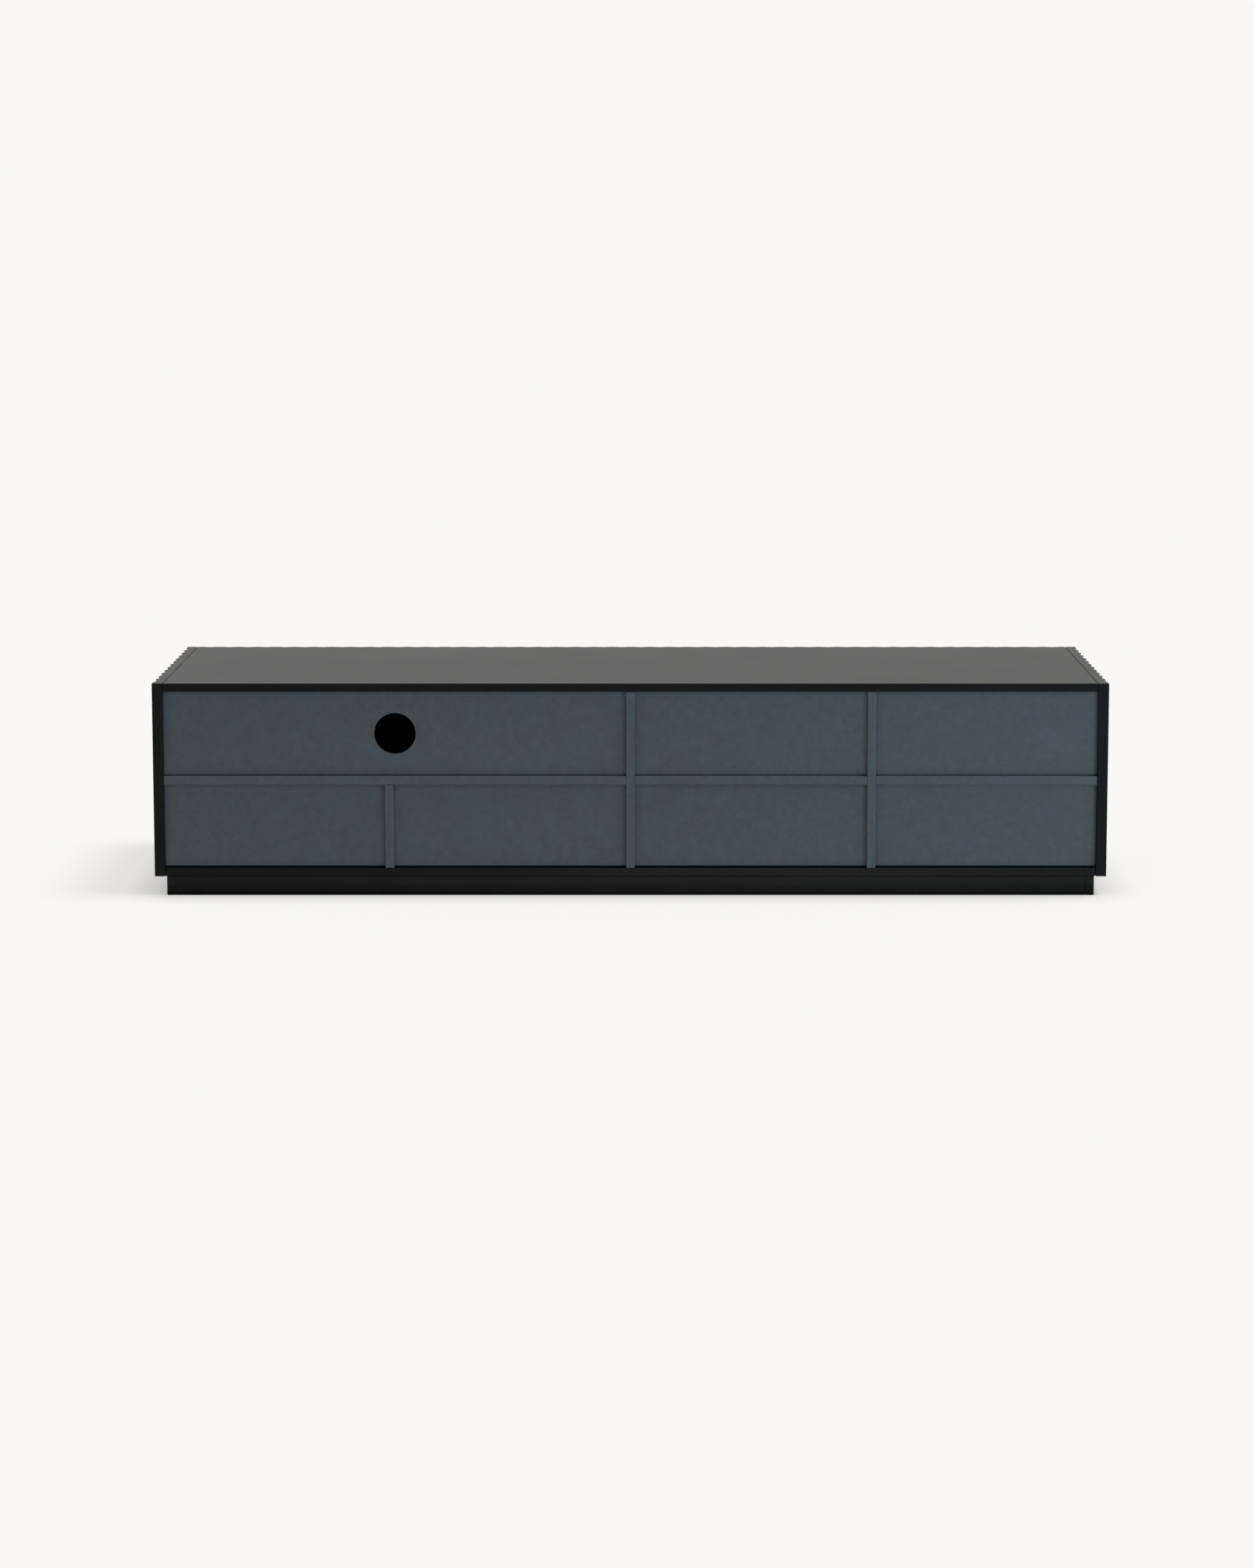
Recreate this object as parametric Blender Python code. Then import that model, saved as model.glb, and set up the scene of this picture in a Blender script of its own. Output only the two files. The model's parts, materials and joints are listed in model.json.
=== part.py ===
"""Low dresser for a media wall: a fluted black shell with six drawers and a drop-down flap.

Metres, +Z up. The origin is on the floor, at the middle of the footprint. The fluted front
faces -Y and the rear, where the slate dividers and back panels show, faces +Y. Left and right
are those of somebody who stands in front of the dresser, so right is +X.

The left half holds two rows of two drawers. The right half holds two drawers below one wide
media compartment, which has a cable hole in its back panel and a flap that folds down.
Pieces that touch keep a gap of GAP, so that no two solids share a face.
"""
import math

import bmesh
import bpy
from mathutils import Matrix, Vector

# ---- Driving dimensions ----------------------------------------------------------------------
WIDTH = 1.800
DEPTH = 0.482
HEIGHT = 0.405
GAP = 0.0003

BOARD = 0.016             # carcass boards
SIDE_THICKNESS = 0.020    # side boards, measured over the crests of their flutes
FRONT_THICKNESS = 0.020   # drawer fronts and flap, over the crests
FRONT_GAP = 0.003         # shadow gap round each front
INNER_SETBACK = 0.025     # front edges of dividers and shelves, behind the crests

FLUTE_PITCH = 0.0379
FLUTE_DEPTH = 0.004
FLUTE_POWER = 1.25        # above 1 the crests are broader than the valleys
FLUTE_STEPS = 6           # facets in one flute
FRONT_FLUTES = 46         # flutes across the front, the middle one's crest at x = 0
SIDE_FLUTES = 12          # flutes along each side board
SIDE_REAR_FLAT = 0.0114   # flat strip between a side board's rear edge and its first flute

PLINTH_HEIGHT = 0.036
PLINTH_INSET = 0.023      # from the outer face of each side board
PLINTH_SETBACK = 0.040    # from the crests of the front

DIVIDER_FLUTES = 12       # the outer dividers stand this many flutes from the middle
SHELF_LOW = 0.212         # underside of the shelves between the two rows

BACK_THICKNESS = 0.005
BACK_RECESS = 0.008       # from the rear edges of the boards to the back panels
GROOVE = 0.004            # how far a panel reaches into the boards round it
CABLE_HOLE_DIAMETER = 0.078
CABLE_HOLE_SEGMENTS = 32

BOX_WALL = 0.012          # folded drawer wrap
BOX_HEIGHT = 0.118
BOX_LENGTH = 0.400
BOX_LIFT = 0.014          # drawer box above the floor of its bay
BOX_BOTTOM = 0.004
BOX_BOTTOM_LIFT = 0.010   # drawer bottom above the wrap's lower edge

RUNNER_SPACE = 0.0127     # between a bay's wall and the drawer box
RUNNER_HEIGHT = 0.035
RUNNER_DEPTH = 0.0098
RUNNER_STEEL = 0.0012
RUNNER_LIP = 0.003
RUNNER_LIFT = 0.040       # runner above the lower edge of the drawer box

PIVOT_INSET = 0.008       # flap's axis behind its crests and above its lower edge
PIVOT_DIAMETER = 0.005
PIVOT_LENGTH = 0.013
PIVOT_CLEARANCE = 0.0004
PIVOT_SEGMENTS = 20
FLAP_CHAMFER = 0.005      # outer lower edge, which swings past the lower fronts
BRACKET_STEEL = 0.0012
BRACKET_HEIGHT = 0.024
BRACKET_BOTTOM = 0.0015   # brackets above the flap's lower edge
BRACKET_FOOT = 0.024      # side bracket's screwed foot, behind the shelf's front edge

LATCH_WIDTH = 0.014
LATCH_HEIGHT = 0.013
LATCH_LENGTH = 0.058
PLUNGER_DIAMETER = 0.007
PLUNGER_LENGTH = 0.046
PLUNGER_REACH = 0.0045    # plunger's tip in front of its housing
PLUNGER_CLEARANCE = 0.0004

SMOOTH_ANGLE = math.radians(35)

# ---- Planes and levels worked out from them --------------------------------------------------
REAR = DEPTH / 2
FRONT = -DEPTH / 2
INNER_X = WIDTH / 2 - SIDE_THICKNESS
INNER_FRONT = FRONT + INNER_SETBACK
FRONT_BACK = FRONT + FRONT_THICKNESS
DIVIDER_X = DIVIDER_FLUTES * FLUTE_PITCH
FLOOR_LOW = PLINTH_HEIGHT
FLOOR_TOP = PLINTH_HEIGHT + BOARD
SHELF_TOP = SHELF_LOW + BOARD
TOP_LOW = HEIGHT - BOARD
FRONT_HEIGHT = (TOP_LOW - FLOOR_TOP - 3 * FRONT_GAP) / 2
LOWER_FRONT = FLOOR_TOP + FRONT_GAP
UPPER_FRONT = LOWER_FRONT + FRONT_HEIGHT + FRONT_GAP
BACK_Y = REAR - BACK_RECESS - BACK_THICKNESS
PIVOT_Y = FRONT + PIVOT_INSET
PIVOT_Z = UPPER_FRONT + PIVOT_INSET
PLUNGER_TIP = INNER_FRONT - PLUNGER_REACH

HALF_BOARD = BOARD / 2
LOWER_ROW = (FLOOR_TOP, SHELF_LOW)
UPPER_ROW = (SHELF_TOP, TOP_LOW)
LEFT_OUTER = (-INNER_X, -DIVIDER_X - HALF_BOARD)
LEFT_INNER = (-DIVIDER_X + HALF_BOARD, -HALF_BOARD)
RIGHT_INNER = (HALF_BOARD, DIVIDER_X - HALF_BOARD)
RIGHT_OUTER = (DIVIDER_X + HALF_BOARD, INNER_X)
RIGHT_WIDE = (HALF_BOARD, INNER_X)

BAYS = {
    "upper_left_outer": (LEFT_OUTER, UPPER_ROW),
    "upper_left_inner": (LEFT_INNER, UPPER_ROW),
    "lower_left_outer": (LEFT_OUTER, LOWER_ROW),
    "lower_left_inner": (LEFT_INNER, LOWER_ROW),
    "lower_right_inner": (RIGHT_INNER, LOWER_ROW),
    "lower_right_outer": (RIGHT_OUTER, LOWER_ROW),
    "media": (RIGHT_WIDE, UPPER_ROW),
}


# ---- Materials -------------------------------------------------------------------------------
def make_material(name, colour, roughness, metallic=0.0):
    material = bpy.data.materials.new(name)
    material.use_nodes = True
    shader = material.node_tree.nodes["Principled BSDF"]
    shader.inputs["Base Color"].default_value = (*colour, 1.0)
    shader.inputs["Roughness"].default_value = roughness
    shader.inputs["Metallic"].default_value = metallic
    material.diffuse_color = (*colour, 1.0)
    return material


def make_materials():
    return {
        "shell": make_material("black_satin_lacquer", (0.012, 0.012, 0.012), 0.38),
        "slate": make_material("slate_melamine", (0.060, 0.075, 0.090), 0.60),
        "box": make_material("grey_foil_board", (0.110, 0.115, 0.120), 0.55),
        "steel": make_material("zinc_plated_steel", (0.560, 0.570, 0.580), 0.32, 1.0),
        "bracket": make_material("black_steel", (0.030, 0.030, 0.032), 0.40, 1.0),
        "plastic": make_material("black_plastic", (0.020, 0.020, 0.021), 0.45),
    }


# ---- Building blocks -------------------------------------------------------------------------
def clear_scene():
    for item in list(bpy.data.objects):
        bpy.data.objects.remove(item, do_unlink=True)


def add_piece(name, mesh_builder, origin, material):
    """Link an object whose geometry, given in world places, is stored round its own origin."""
    bmesh.ops.translate(mesh_builder, verts=mesh_builder.verts, vec=-Vector(origin))
    bmesh.ops.recalc_face_normals(mesh_builder, faces=mesh_builder.faces)
    mesh = bpy.data.meshes.new(name)
    mesh_builder.to_mesh(mesh)
    mesh_builder.free()
    mesh.shade_smooth()
    mesh.set_sharp_from_angle(angle=SMOOTH_ANGLE)
    piece = bpy.data.objects.new(name, mesh)
    piece.location = origin
    if material is not None:
        mesh.materials.append(material)
    bpy.context.scene.collection.objects.link(piece)
    return piece


def extrude_outline(builder, points, direction):
    """Fill a closed outline of world points and extrude it into a solid along direction."""
    face = builder.faces.new([builder.verts.new(point) for point in points])
    extruded = bmesh.ops.extrude_face_region(builder, geom=[face])
    moved = [item for item in extruded["geom"] if isinstance(item, bmesh.types.BMVert)]
    bmesh.ops.translate(builder, verts=moved, vec=direction)


def add_box(builder, x_range, y_range, z_range):
    low = Vector((x_range[0], y_range[0], z_range[0]))
    high = Vector((x_range[1], y_range[1], z_range[1]))
    place = Matrix.Translation((low + high) / 2) @ Matrix.Diagonal((*(high - low), 1.0))
    bmesh.ops.create_cube(builder, size=1.0, matrix=place)


def make_board(name, x_range, y_range, z_range, material):
    builder = bmesh.new()
    add_box(builder, x_range, y_range, z_range)
    ranges = (x_range, y_range, z_range)
    return add_piece(name, builder, [sum(pair) / 2 for pair in ranges], material)


def make_prism_z(name, outline, z_range, origin, material):
    """A solid with an outline in X and Y, between two heights."""
    builder = bmesh.new()
    points = [(x, y, z_range[0]) for x, y in outline]
    extrude_outline(builder, points, (0, 0, z_range[1] - z_range[0]))
    return add_piece(name, builder, origin, material)


def add_rod_x(builder, x_range, y, z, diameter):
    length = x_range[1] - x_range[0]
    centre = ((x_range[0] + x_range[1]) / 2, y, z)
    place = Matrix.Translation(centre) @ Matrix.Rotation(math.radians(90), 4, "Y")
    bmesh.ops.create_cone(builder, cap_ends=True, segments=PIVOT_SEGMENTS, radius1=diameter / 2,
                          radius2=diameter / 2, depth=length, matrix=place)


def add_rod_y(builder, x, z, y_range, diameter, segments):
    length = y_range[1] - y_range[0]
    centre = (x, (y_range[0] + y_range[1]) / 2, z)
    place = Matrix.Translation(centre) @ Matrix.Rotation(math.radians(90), 4, "X")
    bmesh.ops.create_cone(builder, cap_ends=True, segments=segments, radius1=diameter / 2,
                          radius2=diameter / 2, depth=length, matrix=place)


def make_tool(name, builder):
    """A helper solid for Boolean modifiers, which is not a piece of the dresser."""
    tool = add_piece(name, builder, (0, 0, 0), None)
    tool.hide_render = True
    tool.display_type = "WIRE"
    return tool


def combine(piece, tool, operation):
    modifier = piece.modifiers.new(tool.name, "BOOLEAN")
    modifier.operation = operation
    modifier.solver = "EXACT"
    modifier.object = tool


def hang_on(parent, pieces):
    """Parent pieces without moving them."""
    for piece in pieces:
        piece.parent = parent
        piece.matrix_parent_inverse = Matrix.Translation(-parent.location)


def add_axis(name, place):
    axis = bpy.data.objects.new(name, None)
    axis.empty_display_type = "ARROWS"
    axis.empty_display_size = 0.05
    axis.location = place
    bpy.context.scene.collection.objects.link(axis)
    return axis


# ---- Flutes ----------------------------------------------------------------------------------
def flute_depth(distance, first, last):
    """Depth of a fluted face below its crests, flat outside the span from first to last."""
    if distance <= first or distance >= last:
        return 0.0
    turn = 2 * math.pi * (distance - first) / FLUTE_PITCH
    return FLUTE_DEPTH * (0.5 - 0.5 * math.cos(turn)) ** FLUTE_POWER


def flute_stations(start, end, first, flutes):
    """Places along a fluted face from start to end, at each facet's edge."""
    step = FLUTE_PITCH / FLUTE_STEPS
    inner = [first + step * count for count in range(flutes * FLUTE_STEPS + 1)]
    return [start] + [place for place in inner if start < place < end] + [end]


def front_outline(x_low, x_high, y_back):
    """Outline of a board whose front edge or face carries the front's flutes."""
    first = -FRONT_FLUTES / 2 * FLUTE_PITCH
    stations = flute_stations(x_low, x_high, first, FRONT_FLUTES)
    face = [(x, FRONT + flute_depth(x, first, -first)) for x in stations]
    return face + [(x_high, y_back), (x_low, y_back)]


def side_outline(sign):
    """Outline of a side board; its outer face carries the flutes and its ends are flat."""
    span = SIDE_FLUTES * FLUTE_PITCH
    stations = flute_stations(0.0, DEPTH, SIDE_REAR_FLAT, SIDE_FLUTES)
    outer = [(sign * (WIDTH / 2 - flute_depth(back, SIDE_REAR_FLAT, SIDE_REAR_FLAT + span)),
              REAR - back) for back in stations]
    return outer + [(sign * INNER_X, FRONT), (sign * INNER_X, REAR)]


# ---- Carcass ---------------------------------------------------------------------------------
def make_groove_tool():
    """One box in each bay, which cuts the grooves that hold the back panels."""
    builder = bmesh.new()
    reach = GROOVE + GAP
    for x_range, z_range in BAYS.values():
        add_box(builder, (x_range[0] - reach, x_range[1] + reach),
                (BACK_Y - GAP, BACK_Y + BACK_THICKNESS + GAP),
                (z_range[0] - reach, z_range[1] + reach))
    return make_tool("back_groove_tool", builder)


def make_shell(materials):
    inner = INNER_X - GAP
    outline = front_outline(-inner, inner, REAR)
    return [
        make_prism_z("top_panel", outline, (TOP_LOW, HEIGHT), (0, 0, HEIGHT), materials["shell"]),
        make_prism_z("bottom_panel", outline, (FLOOR_LOW, FLOOR_TOP), (0, 0, FLOOR_LOW),
                     materials["shell"]),
        make_prism_z("side_panel_left", side_outline(-1), (FLOOR_LOW, HEIGHT),
                     (-INNER_X, 0, FLOOR_LOW), materials["shell"]),
        make_prism_z("side_panel_right", side_outline(1), (FLOOR_LOW, HEIGHT),
                     (INNER_X, 0, FLOOR_LOW), materials["shell"]),
    ]


def make_divider(name, x, top, materials):
    return make_board(name, (x - HALF_BOARD, x + HALF_BOARD), (INNER_FRONT, REAR),
                      (FLOOR_TOP + GAP, top - GAP), materials["slate"])


def make_shelf(name, x_range, materials):
    return make_board(name, (x_range[0] + GAP, x_range[1] - GAP), (INNER_FRONT, REAR),
                      (SHELF_LOW, SHELF_TOP), materials["slate"])


def make_frame(materials):
    return [
        make_divider("divider_left", -DIVIDER_X, TOP_LOW, materials),
        make_divider("divider_centre", 0.0, TOP_LOW, materials),
        make_divider("divider_right_lower", DIVIDER_X, SHELF_LOW, materials),
        make_shelf("shelf_left_outer", LEFT_OUTER, materials),
        make_shelf("shelf_left_inner", LEFT_INNER, materials),
        make_shelf("shelf_right_wide", RIGHT_WIDE, materials),
    ]


def make_back_panels(materials):
    panels = {}
    for bay, (x_range, z_range) in BAYS.items():
        panels[bay] = make_board("back_panel_" + bay, (x_range[0] - GROOVE, x_range[1] + GROOVE),
                                 (BACK_Y, BACK_Y + BACK_THICKNESS),
                                 (z_range[0] - GROOVE, z_range[1] + GROOVE), materials["slate"])
    return panels


def cut_cable_hole(panel):
    x_range, z_range = BAYS["media"]
    builder = bmesh.new()
    add_rod_y(builder, sum(x_range) / 2, sum(z_range) / 2, (BACK_Y - BOARD, REAR + BOARD),
              CABLE_HOLE_DIAMETER, CABLE_HOLE_SEGMENTS)
    combine(panel, make_tool("cable_hole_tool", builder), "DIFFERENCE")


def make_plinth(materials):
    outer = WIDTH / 2 - PLINTH_INSET
    front = FRONT + PLINTH_SETBACK
    rail = outer - BOARD - GAP
    height = (0.0, PLINTH_HEIGHT - GAP)
    shell = materials["shell"]
    make_board("plinth_side_left", (-outer, BOARD - outer), (front, REAR), height, shell)
    make_board("plinth_side_right", (outer - BOARD, outer), (front, REAR), height, shell)
    make_board("plinth_rail_front", (-rail, rail), (front, front + BOARD), height, shell)
    make_board("plinth_rail_rear", (-rail, rail), (REAR - BOARD, REAR), height, shell)
    make_board("plinth_brace", (-HALF_BOARD, HALF_BOARD),
               (front + BOARD + GAP, REAR - BOARD - GAP), height, shell)


# ---- Drawers ---------------------------------------------------------------------------------
def front_x_range(bay):
    """Width of the front that covers a bay: gaps lie over the middles of the dividers."""
    x_low, x_high = BAYS[bay][0]
    low = x_low + FRONT_GAP if x_low == -INNER_X else x_low - HALF_BOARD + FRONT_GAP / 2
    high = x_high - FRONT_GAP if x_high == INNER_X else x_high + HALF_BOARD - FRONT_GAP / 2
    return low, high


def front_z_range(bay):
    low = UPPER_FRONT if BAYS[bay][1] == UPPER_ROW else LOWER_FRONT
    return low, low + FRONT_HEIGHT


def make_box_bottom(bay, x_range, y_range, z_low, materials):
    """The drawer's bottom, held in a groove of the wrap, and the tool that cuts that groove."""
    inner = (x_range[0] + BOX_WALL, x_range[1] - BOX_WALL)
    back = y_range[1] - BOX_WALL
    z_range = (z_low + BOX_BOTTOM_LIFT, z_low + BOX_BOTTOM_LIFT + BOX_BOTTOM)
    bottom = make_board("drawer_bottom_" + bay, (inner[0] - GROOVE, inner[1] + GROOVE),
                        (y_range[0], back + GROOVE), z_range, materials["box"])
    builder = bmesh.new()
    reach = GROOVE + GAP
    add_box(builder, (inner[0] - reach, inner[1] + reach), (y_range[0] - BOARD, back + reach),
            (z_range[0] - GAP, z_range[1] + GAP))
    return bottom, make_tool("drawer_groove_tool_" + bay, builder)


def make_wrap(bay, x_range, y_range, z_low, materials):
    """Both sides and the back of a drawer box, folded from one board, open at the front."""
    left, right = x_range
    front, back = y_range
    outline = [
        (left, front), (left + BOX_WALL, front), (left + BOX_WALL, back - BOX_WALL),
        (right - BOX_WALL, back - BOX_WALL), (right - BOX_WALL, front), (right, front),
        (right, back), (left, back),
    ]
    origin = ((left + right) / 2, front, z_low)
    return make_prism_z("drawer_wrap_" + bay, outline, (z_low, z_low + BOX_HEIGHT), origin,
                        materials["box"])


def make_runner(name, wall, inward, z_low, materials):
    """A cabinet runner: a lipped steel channel against a bay's wall, open towards the drawer."""
    profile = [
        (0, 0), (RUNNER_DEPTH, 0), (RUNNER_DEPTH, RUNNER_LIP),
        (RUNNER_DEPTH - RUNNER_STEEL, RUNNER_LIP), (RUNNER_DEPTH - RUNNER_STEEL, RUNNER_STEEL),
        (RUNNER_STEEL, RUNNER_STEEL),
    ]
    profile += [(x, RUNNER_HEIGHT - z) for x, z in reversed(profile)]
    start = INNER_FRONT + FRONT_GAP
    builder = bmesh.new()
    points = [(wall + inward * (GAP + x), start, z_low + z) for x, z in profile]
    extrude_outline(builder, points, (0, BOX_LENGTH, 0))
    return add_piece(name, builder, (wall, start, z_low), materials["steel"])


def make_drawer(bay, materials):
    x_range, z_range = BAYS[bay]
    box_x = (x_range[0] + RUNNER_SPACE, x_range[1] - RUNNER_SPACE)
    box_y = (FRONT_BACK + GAP, FRONT_BACK + GAP + BOX_LENGTH)
    box_z = z_range[0] + BOX_LIFT
    front_x = front_x_range(bay)
    front_z = front_z_range(bay)
    middle = (sum(front_x) / 2, FRONT, sum(front_z) / 2)
    front = make_prism_z("drawer_front_" + bay, front_outline(*front_x, FRONT_BACK), front_z,
                         middle, materials["shell"])
    wrap = make_wrap(bay, box_x, box_y, box_z, materials)
    bottom, tool = make_box_bottom(bay, box_x, box_y, box_z, materials)
    combine(wrap, tool, "DIFFERENCE")
    hang_on(add_axis("drawer_axis_" + bay, middle), [front, wrap, bottom, tool])
    for side, wall, inward in (("left", x_range[0], 1), ("right", x_range[1], -1)):
        make_runner("runner_" + bay + "_" + side, wall, inward, box_z + RUNNER_LIFT, materials)


# ---- Flap ------------------------------------------------------------------------------------
def add_edge_prism(builder, x_low, x_high):
    """A wedge that takes the flap's outer lower edge off, so that it clears the lower fronts."""
    reach = BOARD
    wedge = [
        (FRONT - reach, UPPER_FRONT - reach),
        (FRONT + FLAP_CHAMFER + reach, UPPER_FRONT - reach),
        (FRONT - reach, UPPER_FRONT + FLAP_CHAMFER + reach),
    ]
    points = [(x_low - reach, y, z) for y, z in wedge]
    extrude_outline(builder, points, (x_high - x_low + 2 * reach, 0, 0))


def make_flap(materials):
    """The flap on its axis, with a bore in each end for the pins of its brackets."""
    x_low, x_high = front_x_range("media")
    flap = make_prism_z("flap_panel", front_outline(x_low, x_high, FRONT_BACK),
                        front_z_range("media"), ((x_low + x_high) / 2, PIVOT_Y, PIVOT_Z),
                        materials["shell"])
    builder = bmesh.new()
    bore = PIVOT_DIAMETER + 2 * PIVOT_CLEARANCE
    for end in (x_low, x_high):
        add_rod_x(builder, (end - PIVOT_LENGTH, end + PIVOT_LENGTH), PIVOT_Y, PIVOT_Z, bore)
    add_edge_prism(builder, x_low, x_high)
    tool = make_tool("flap_cutting_tool", builder)
    combine(flap, tool, "DIFFERENCE")
    hang_on(add_axis("flap_axis", (0, PIVOT_Y, PIVOT_Z)), [flap, tool])
    return x_low, x_high


def add_pivot_pin(bracket, x_range):
    builder = bmesh.new()
    add_rod_x(builder, x_range, PIVOT_Y, PIVOT_Z, PIVOT_DIAMETER)
    combine(bracket, make_tool(bracket.name + "_pin_tool", builder), "UNION")


def make_brackets(flap_low, flap_high, materials):
    """The fixed halves of the flap's pivots, each a thin plate with a pin."""
    z_low = UPPER_FRONT + BRACKET_BOTTOM
    z_range = (z_low, z_low + BRACKET_HEIGHT)
    tip = FRONT + 0.4 * PIVOT_INSET
    pin_end = PIVOT_LENGTH - 2 * PIVOT_CLEARANCE
    half = BRACKET_STEEL / 2

    face = INNER_FRONT - GAP
    angle = [
        (-half, tip), (half, tip), (half, face - BRACKET_STEEL),
        (HALF_BOARD, face - BRACKET_STEEL), (HALF_BOARD, face), (-half, face),
    ]
    centre = make_prism_z("flap_bracket_centre", angle, z_range, (0, face, z_low),
                          materials["bracket"])
    add_pivot_pin(centre, (-half / 2, flap_low + pin_end))

    wall = INNER_X - GAP
    back = INNER_FRONT + BRACKET_FOOT
    plate = [
        (tip, z_range[0]), (face, z_range[0]), (face, SHELF_TOP + GAP), (back, SHELF_TOP + GAP),
        (back, z_range[1]), (tip, z_range[1]),
    ]
    builder = bmesh.new()
    extrude_outline(builder, [(wall, y, z) for y, z in plate], (-BRACKET_STEEL, 0, 0))
    side = add_piece("flap_bracket_side", builder, (wall, face, z_low), materials["bracket"])
    add_pivot_pin(side, (flap_high - pin_end, wall - half))


def make_latch(materials):
    """A push latch under the top panel: a bored housing and the plunger that slides in it."""
    x = sum(front_x_range("media")) / 2
    z_high = TOP_LOW - GAP
    z = z_high - LATCH_HEIGHT / 2
    housing = make_board("latch_housing", (x - LATCH_WIDTH / 2, x + LATCH_WIDTH / 2),
                         (INNER_FRONT, INNER_FRONT + LATCH_LENGTH),
                         (z_high - LATCH_HEIGHT, z_high), materials["plastic"])
    builder = bmesh.new()
    bore = PLUNGER_DIAMETER + 2 * PLUNGER_CLEARANCE
    bore_end = INNER_FRONT + LATCH_LENGTH - LATCH_WIDTH / 2
    add_rod_y(builder, x, z, (INNER_FRONT - BOARD, bore_end), bore, PIVOT_SEGMENTS)
    combine(housing, make_tool("latch_bore_tool", builder), "DIFFERENCE")

    builder = bmesh.new()
    add_rod_y(builder, x, z, (PLUNGER_TIP, PLUNGER_TIP + PLUNGER_LENGTH), PLUNGER_DIAMETER,
              PIVOT_SEGMENTS)
    add_piece("latch_plunger", builder, (x, PLUNGER_TIP, z), materials["plastic"])


def main():
    clear_scene()
    materials = make_materials()
    groove_tool = make_groove_tool()
    for board in make_shell(materials) + make_frame(materials):
        combine(board, groove_tool, "DIFFERENCE")
    cut_cable_hole(make_back_panels(materials)["media"])
    make_plinth(materials)
    for bay in BAYS:
        if bay != "media":
            make_drawer(bay, materials)
    flap_low, flap_high = make_flap(materials)
    make_brackets(flap_low, flap_high, materials)
    make_latch(materials)


main()
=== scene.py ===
"""Looks for the low fluted dresser: finishes, fine shapes, hardware, light and camera.

Everything is in metres in the row's frame: +X is the media compartment's side, the fluted
front faces -Y, the rear faces +Y, and the floor is at z = 0. Places come from the CAD nodes.
"""

import json
import math

import bmesh
import bpy
from mathutils import Matrix, Vector

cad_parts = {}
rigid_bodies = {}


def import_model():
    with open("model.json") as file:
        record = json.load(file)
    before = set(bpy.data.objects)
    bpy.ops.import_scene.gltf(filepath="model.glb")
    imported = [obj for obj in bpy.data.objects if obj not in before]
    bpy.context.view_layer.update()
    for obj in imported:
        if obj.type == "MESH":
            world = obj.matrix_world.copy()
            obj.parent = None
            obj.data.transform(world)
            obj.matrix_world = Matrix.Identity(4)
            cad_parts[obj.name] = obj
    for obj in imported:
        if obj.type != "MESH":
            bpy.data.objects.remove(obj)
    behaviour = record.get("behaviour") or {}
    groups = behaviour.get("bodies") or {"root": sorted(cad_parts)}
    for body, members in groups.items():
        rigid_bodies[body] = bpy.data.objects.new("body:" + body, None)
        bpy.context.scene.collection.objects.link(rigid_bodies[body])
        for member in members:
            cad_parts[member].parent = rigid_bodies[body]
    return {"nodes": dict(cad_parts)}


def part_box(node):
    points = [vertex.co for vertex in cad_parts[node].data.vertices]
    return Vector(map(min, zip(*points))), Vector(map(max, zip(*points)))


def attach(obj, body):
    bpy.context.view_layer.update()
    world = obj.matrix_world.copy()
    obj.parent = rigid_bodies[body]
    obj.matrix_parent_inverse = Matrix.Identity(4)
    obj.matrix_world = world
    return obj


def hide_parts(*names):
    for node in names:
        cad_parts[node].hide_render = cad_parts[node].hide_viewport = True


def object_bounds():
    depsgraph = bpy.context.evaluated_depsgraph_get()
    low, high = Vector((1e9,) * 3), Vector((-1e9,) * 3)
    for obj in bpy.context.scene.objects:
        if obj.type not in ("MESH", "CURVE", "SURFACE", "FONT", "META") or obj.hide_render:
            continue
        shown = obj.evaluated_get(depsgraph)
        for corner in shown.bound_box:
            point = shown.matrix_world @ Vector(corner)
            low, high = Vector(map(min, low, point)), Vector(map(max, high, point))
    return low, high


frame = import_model()
cad_box = [list(corner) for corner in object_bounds()]

MM = 0.001
BAYS = ("upper_left_outer", "upper_left_inner", "lower_left_outer", "lower_left_inner",
        "lower_right_inner", "lower_right_outer")
SIDES = (("left", 1), ("right", -1))     # of a bay, each with its way inward along X

# Flutes, as the CAD model has them, with finer steps.
FLUTE_PITCH = 37.9 * MM
FLUTE_DEPTH = 4.0 * MM
FLUTE_POWER = 1.25          # above 1 the crests are broader than the valleys
FLUTE_STEPS = 16            # facets in one flute
NARROWEST_FACET = 0.1       # beside a board's end, as a share of a facet
FRONT_FLUTES = 46           # across the front, with a crest at x = 0
SIDE_FLUTES = 12            # along each side board
SIDE_REAR_FLAT = 11.4 * MM  # flat strip between a side board's rear edge and its first flute
FLAP_CHAMFER = 5.0 * MM     # under the flap's lower front edge

# Radii of rounded edges.
LACQUER_EDGE = 1.0 * MM
SLATE_EDGE = 0.7 * MM
BOX_EDGE = 0.5 * MM
SLIDER_EDGE = 0.45 * MM
PANEL_EDGE = 0.4 * MM
FITTING_EDGE = 0.3 * MM
STRIP_EDGE = 0.2 * MM
PLATE_EDGE = 0.1 * MM

ROUNDED_ANGLE = math.radians(50)    # an edge that turns by more than this is rounded
SMOOTH_ANGLE = math.radians(38)     # an edge that turns by less than this is shaded smooth
WELD_DISTANCE = 0.01 * MM
SEAM_INSET = 0.6 * MM       # of the top and bottom boards: a fine dark joint beside the sides


# ---- Node helpers ----------------------------------------------------------------------------
COLOUR_INPUTS = (6, 7)      # the Mix node's sockets for colours
COLOUR_OUTPUT = 2
NOISE_LOW, NOISE_HIGH = 0.3, 0.7    # most of a noise's values are between these


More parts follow.
